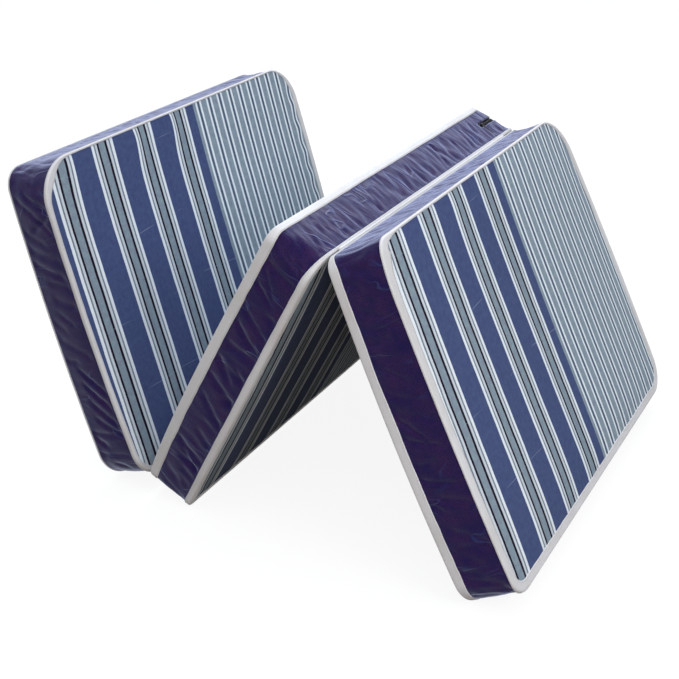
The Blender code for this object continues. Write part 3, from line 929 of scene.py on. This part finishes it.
def zipSpan(side, reach, overhang=0.0):
    # tells whether a point is where the slot runs, along an edge and round a far corner
    slotEnd = width / 2 - zipSlot["setback"] - overhang
    nextCorner = cornerRadius(side, -1, 1, 0, 0.0) + zipSlot["endGap"] - overhang
    return lambda spot: ((spot.x > depth - zipSlot["edgeReach"] and spot.y > slotEnd)
                         or (spot.y > width / 2 - reach and spot.x > nextCorner))


def sinkZipSlot(bm, side):
    # presses the slot for the zip into the band's far part
    level = bm.verts.layers.float["level"]
    onSlot, half = zipSpan(side, zipSlot["slotReach"]), zipSlot["half"] + 3e-4
    chosen = [face for face in bm.faces if face.material_index == 1
              and all(abs(loop.vert[level] - thickness / 2) <= half for loop in face.loops)
              and onSlot(face.calc_center_median())]
    drawn = bmesh.ops.extrude_face_region(bm, geom=chosen)["geom"]
    for item in drawn:
        if isinstance(item, bmesh.types.BMVert):
            outward, edge = rimFacing(item.co.x, item.co.y, side)
            item.co -= Vector((outward[0], outward[1], 0)) * (zipSlot["floor"] - edge)
    bmesh.ops.delete(bm, geom=[face for face in chosen if face.is_valid], context="FACES")


def buildCushion(side):
    bm = cushionForm(side)
    moves = inflate(bm, side)
    bm.verts.ensure_lookup_table()
    for vert, move in zip(bm.verts, moves):
        cap = cushion["bandCap"] if onBandAt(vert.co.z) else cushion["cap"]
        if move.length > 1e-7:
            vert.co += move * (cap * math.tanh(move.length / cap) / move.length)
    paintCloth(bm, side)
    bm = refined(bm)
    wrinkle(bm, side)
    sinkZipSlot(bm, side)
    for vert in bm.verts:
        vert.co = settled(side, vert.co)
    piece = finished(side + "Cushion", bm, [tickingMaterial, bandMaterial], standing(side),
                     side + "_section")
    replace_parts(piece, *(f"{side}_{node}" for node in ("foam_core", "face_panel",
                                                       "back_panel", "border_band")))


for side in sides:
    buildCushion(side)
    print(side, "cushion filled")


# bindings
def tapeProfile(panelLeg, bandLeg, ripple):
    # (inset, depth below the face) points of the folded tape, outside and back inside
    roll, skin = bindingTape["roll"], bindingTape["thickness"]
    press, bevel, tuck = bindingTape["press"], bindingTape["bevel"], bindingTape["tuck"]
    roll = min(roll, panelLeg - bindingTape["flat"], bandLeg - bindingTape["flat"])
    lift = ripple * 0.4
    outside = [(panelLeg, press), (panelLeg - bevel, -lift)]
    outside += [(roll + (panelLeg - bevel - roll) * share, -ripple * (0.4 + 0.6 * share))
                for share in (0.75, 0.45, 0.2)]
    outside += [(roll - roll * math.sin(angle), roll - roll * math.cos(angle))
                for angle in (math.pi / 2 * step / 5 for step in range(6))]
    outside += [(-ripple * 0.5, roll + (bandLeg - bevel - roll) * share)
                for share in (0.35, 0.7)]
    outside += [(-lift, bandLeg - bevel), (press, bandLeg)]
    hollow = max(roll - skin, 0.0002)
    inside = [(skin, bandLeg - tuck), (skin, skin + hollow)]
    inside += [(skin + hollow * (1 - math.cos(angle)), skin + hollow * (1 - math.sin(angle)))
               for angle in (math.pi / 2 * step / 3 for step in range(1, 4))]
    inside += [(panelLeg - tuck, skin)]
    return outside + inside


def tapePoint(side, atFace, spot, outward, inset, below):
    # a point inside the rim and below the face or above the back, as the foam settled
    flat = spot - outward * inset
    return settled(side, Vector((flat.x, flat.y, thickness - below if atFace else below)))


def addStitches(bm, side, atFace, way, legs):
    # a row of stitches along both edges of a binding, in the section's own place
    sizes, stitchInset = bindingTape["stitch"], bindingTape["stitchInset"]
    for (spot, outward, run), (panelLeg, bandLeg) in zip(way, legs):
        turn = Matrix.Rotation(math.atan2(outward.y, outward.x) + math.pi / 2, 4, "Z")
        for inset, below, order in ((panelLeg - stitchInset, -sizes[2], (0, 1, 2)),
                                    (-sizes[2], bandLeg - stitchInset, (0, 2, 1))):
            place = tapePoint(side, atFace, spot, outward, inset, below)
            half = Matrix.Diagonal([sizes[axis] for axis in order] + [1.0])
            bmesh.ops.create_icosphere(bm, subdivisions=1, radius=1.0,
                                       matrix=Matrix.Translation(place) @ turn @ half)


def buildBinding(side, atFace):
    way, total = rimWay(side, 0.0, bindingTape["pitch"], 1.0 if atFace else 0.0)
    seed = 20.0 * sides.index(side) + (7.0 if atFace else 0.0)
    profiles, legs = [], []

    def waver(run, scale, shift):
        return noise.noise(lapped(run, total) * scale + Vector((0, 0, seed + shift)))

    for spot, outward, run in way:
        wobble = 1 + bindingTape["edgeWobble"] * (
            waver(run, bindingTape["wobbleScale"], 0)
            + 0.5 * waver(run, bindingTape["rippleScale"], 1))
        ripple = bindingTape["ripple"] * waver(run, bindingTape["rippleScale"], 3)
        panelLeg, bandLeg = legWidths(side, atFace, outward, spot)
        legs.append((panelLeg * wobble, bandLeg * (2 - wobble)))
        profiles.append(tapeProfile(*legs[-1], ripple))
    steps = len(profiles[0])
    across = [0.0]
    base = tapeProfile(0.015, 0.011, 0)
    for (a, b), (c, d) in zip(base, base[1:] + base[:1]):
        across.append(across[-1] + math.hypot(c - a, d - b))

    def pointAt(row, column):
        spot, outward, run = way[column % len(way)]
        inset, below = profiles[column % len(way)][row % steps]
        place = tapePoint(side, atFace, spot, outward, inset, below)
        return place, (run if column < len(way) else total, across[row])

    bm = sweptGrid(len(way) + 1, steps + 1, pointAt)
    tapeFaces = len(bm.faces)
    addStitches(bm, side, atFace, way, legs)
    bm.faces.ensure_lookup_table()
    for face in bm.faces[tapeFaces:]:
        face.material_index = 1
    place = standing(side)
    for vert in bm.verts:
        vert.co = place @ vert.co
        vert.co.z = max(vert.co.z, 0.0)
    name = "Face" if atFace else "Back"
    piece = finished(f"{side}{name}Binding", bm, [tapeMaterial, threadMaterial],
                     body=side + "_section")
    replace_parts(piece, f"{side}_{name.lower()}_binding")


for side in sides:
    for atFace in (True, False):
        buildBinding(side, atFace)
print("bindings sewn")

# fold strips
foldStrip = {"onTape": 0.012, "thickness": 0.0010, "gap": 0.0003, "seam": 0.00245,
             "margin": 0.012, "pitch": 0.006}


def buildFoldStrip(name, axis, tapeEdge, tapeLevel):
    # a strip on the middle section's tape that ends in the rolled seam of the fold
    halfRun = width / 2 - mattress["corner"] - foldStrip["margin"]
    toward = math.copysign(1, tapeEdge - axis.x)
    outward = math.copysign(1, axis.z - tapeLevel)
    low = tapeLevel + outward * foldStrip["gap"]
    high = low + outward * foldStrip["thickness"]
    radius = foldStrip["seam"]
    start = math.asin((high - axis.z) * outward / radius)
    end = math.tau + math.asin((low - axis.z) * outward / radius)
    bead = [start + (end - start) * step / 14 for step in range(15)]
    profile = [(tapeEdge, low), (tapeEdge, high), ((tapeEdge + axis.x) / 2, high)]
    profile += [(axis.x + toward * radius * math.cos(turn),
                 axis.z + outward * radius * math.sin(turn)) for turn in bead]
    profile += [((tapeEdge + axis.x) / 2, low)]
    columns = round(2 * halfRun / foldStrip["pitch"]) + 1

    def pointAt(row, column):
        x, z = profile[row % len(profile)]
        run = 2 * halfRun * column / (columns - 1)
        return (x, run - halfRun, z), (run, row * foldStrip["thickness"])

    bm = sweptGrid(columns, len(profile) + 1, pointAt, capEnds=True)
    piece = finished(name, bm, [tapeMaterial], standing("middle"), "middle_section")
    return piece


toMiddle = standing("middle").inverted()
lowerAxis, upperAxis = toMiddle @ jointPlace("lower_fold"), toMiddle @ jointPlace("upper_fold")
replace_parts(buildFoldStrip("lowerFoldStrip", lowerAxis, foldStrip["onTape"], thickness),
            "lower_fold_strip")
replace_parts(buildFoldStrip("upperFoldStrip", upperAxis, depth - foldStrip["onTape"], 0.0),
            "upper_fold_strip")
print("folds sewn")

# zips
zipStrip = {"clear": 0.0006, "reach": 0.0062, "inset": 0.0040, "thickness": 0.0007,
            "pitch": 0.006, "overhang": 0.004}
zipCoil = {"radius": 0.00085, "length": 0.0050, "pitch": 0.0019, "inset": 0.0034,
           "sides": 6, "lean": 0.16}


def zipWay(side, inset, pitch, overhang=0.0):
    # the part of the rim that the zip follows, from its slider's end
    onZip = zipSpan(side, zipSlot["zipReach"], overhang)
    way, total = rimWay(side, inset, pitch)
    chosen = [(run - total if run > total / 2 else run, spot, outward)
              for spot, outward, run in way if onZip(spot)]
    return sorted(chosen, key=lambda stop: stop[0])


def buildZipTapes(side):
    # two woven strips with their inner edges at the coil
    way = zipWay(side, 0.0, zipStrip["pitch"], zipStrip["overhang"])
    middle = thickness / 2
    bm = bmesh.new()
    bm.loops.layers.uv.new("cloth")
    low, high = zipStrip["inset"] + zipStrip["thickness"], zipStrip["inset"]
    profile = [(high, zipStrip["clear"]), (high, zipStrip["reach"]),
               (low, zipStrip["reach"]), (low, zipStrip["clear"])]
    for toFace in (-1, 1):

        def pointAt(row, column):
            inset, off = profile[row % len(profile)]
            run, spot, outward = way[column]
            flat = spot - outward * inset
            return (flat.x, flat.y, middle + toFace * off), (run, off * toFace)

        strip = sweptGrid(len(way), len(profile) + 1, pointAt, capEnds=True)
        part = bpy.data.meshes.new("strip")
        strip.to_mesh(part)
        strip.free()
        bm.from_mesh(part)
        bpy.data.meshes.remove(part)
    piece = finished(side + "ZipTapes", bm, [zipClothMaterial], standing(side),
                     side + "_section")
    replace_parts(piece, side + "_zip_tape_face_side", side + "_zip_tape_back_side")


def buildZipCoil(side):
    # short bars across the zip, each a turn of the coil
    bm = bmesh.new()
    middle = thickness / 2
    for index, (run, spot, outward) in enumerate(zipWay(side, zipCoil["inset"],
                                                        zipCoil["pitch"])):
        lean = zipCoil["lean"] if index % 2 else -zipCoil["lean"]
        place = Matrix.Translation((spot.x, spot.y, middle))
        turn = Matrix.Rotation(math.atan2(outward.y, outward.x), 4, "Z")
        bmesh.ops.create_cone(bm, cap_ends=True, segments=zipCoil["sides"],
                              radius1=zipCoil["radius"], radius2=zipCoil["radius"],
                              depth=zipCoil["length"],
                              matrix=place @ turn @ Matrix.Rotation(lean, 4, "X"))
    piece = finished(side + "ZipCoil", bm, [zipNylonMaterial], standing(side),
                     side + "_section")
    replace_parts(piece, side + "_zip_coil")


for side in sides:
    buildZipTapes(side)
    buildZipCoil(side)
    for node in ("zip_top_stop", "zip_bottom_stop", "zip_slider", "zip_puller"):
        frame["nodes"][f"{side}_{node}"].material_slots[0].material = zipMetalMaterial
print("zips fitted")

# floor, light and camera
studio = {"floor": 60.0, "floorGlow": 0.89, "floorShade": 0.12,
          "bounce": (0.060, 0.040, 0.026, 1),
          # light on the object from the room: strength level with it and from above
          "horizon": 0.03, "zenith": 1.46, "sky": (0.88, 0.96, 1.08, 1),
          "haze": (1.15, 0.92, 0.72, 1), "hazeTop": 0.35, "aim": (0, 0, 0.25),
          # power, width, place and colour of each lamp; all of them face the mattress
          "lamps": {"key": (15.5, 1.0, (2.0, -0.8, 1.6), (1.0, 0.98, 0.97)),
                    "rear": (82.0, 1.4, (-1.0, 2.2, 2.6), (0.90, 0.95, 1.0)),
                    "fill": (24.0, 1.6, (1.1, -2.6, 1.2), (1.0, 0.94, 0.90))}}
# the sensor and lens in millimetres, and where the camera stands and how it is turned
view = {"sensor": 36.0, "lens": 62.759, "place": (1.0070, -1.8921, 1.2909),
        "turn": ((0.87335, -0.216207, 0.436479), (0.48707, 0.396479, -0.778182),
                 (-0.004806, 0.892221, 0.451573))}


def seenDirectly(tree):
    # 1 for what the camera, a gloss or a clear material sees, 0 for light on the object
    rays = addNode(tree, "ShaderNodeLightPath").outputs
    seen = mathNode(tree, "MAXIMUM", rays["Is Camera Ray"], rays["Is Glossy Ray"])
    return mathNode(tree, "MAXIMUM", seen, rays["Is Transmission Ray"])


def buildFloor():
    bm = bmesh.new()
    bmesh.ops.create_grid(bm, x_segments=1, y_segments=1, size=studio["floor"] / 2)
    material, tree, inputs = newMaterial("paleFloor", 0.9, Specular_IOR_Level=0.0,
                                         Emission_Color=(1, 1, 1, 1))
    seen, shade = seenDirectly(tree), studio["floorShade"]
    give(tree, inputs["Base Color"],
         mixColour(tree, seen, studio["bounce"], (shade, shade, shade, 1)))
    give(tree, inputs["Emission Strength"],
         mathNode(tree, "MULTIPLY", seen, studio["floorGlow"]))
    finished("floor", bm, [material], smooth=False)


def placed(name, data, place):
    holder = linked(name, data)
    holder.location = place
    holder.rotation_mode = "QUATERNION"
    return holder


def buildLight():
    scene.world = bpy.data.worlds.new("studio")
    scene.world.use_nodes = True
    tree = scene.world.node_tree
    background = tree.nodes["Background"].inputs
    # the light from the room falls mostly from above
    where = addNode(tree, "ShaderNodeTexCoord").outputs["Generated"]
    up = addNode(tree, "ShaderNodeSeparateXYZ", {0: where}).outputs[2]
    room = ranged(tree, up, goal=(studio["horizon"], studio["zenith"]))
    seen = seenDirectly(tree)
    give(tree, background["Strength"], ranged(tree, seen, goal=(room, 1.0)))
    height = ranged(tree, up, (0.0, studio["hazeTop"]))
    colour = mixColour(tree, height, studio["haze"], studio["sky"])
    give(tree, background["Color"], mixColour(tree, seen, colour, (1, 1, 1, 1)))
    for name, (power, size, place, colour) in studio["lamps"].items():
        lamp = bpy.data.lights.new(name, "AREA")
        lamp.shape = "DISK"
        lamp.size = size
        lamp.energy = power
        lamp.color = colour
        holder = placed(name, lamp, place)
        aim = Vector(studio["aim"]) - holder.location
        holder.rotation_quaternion = aim.to_track_quat("-Z", "Y")


def buildCamera():
    data = bpy.data.cameras.new("view")
    data.sensor_width = view["sensor"]
    data.lens = view["lens"]
    camera = placed("view", data, view["place"])
    camera.rotation_quaternion = Matrix(view["turn"]).to_quaternion()
    scene.camera = camera


buildFloor()
buildLight()
buildCamera()
scene.view_settings.view_transform = "Standard"
print("studio ready")
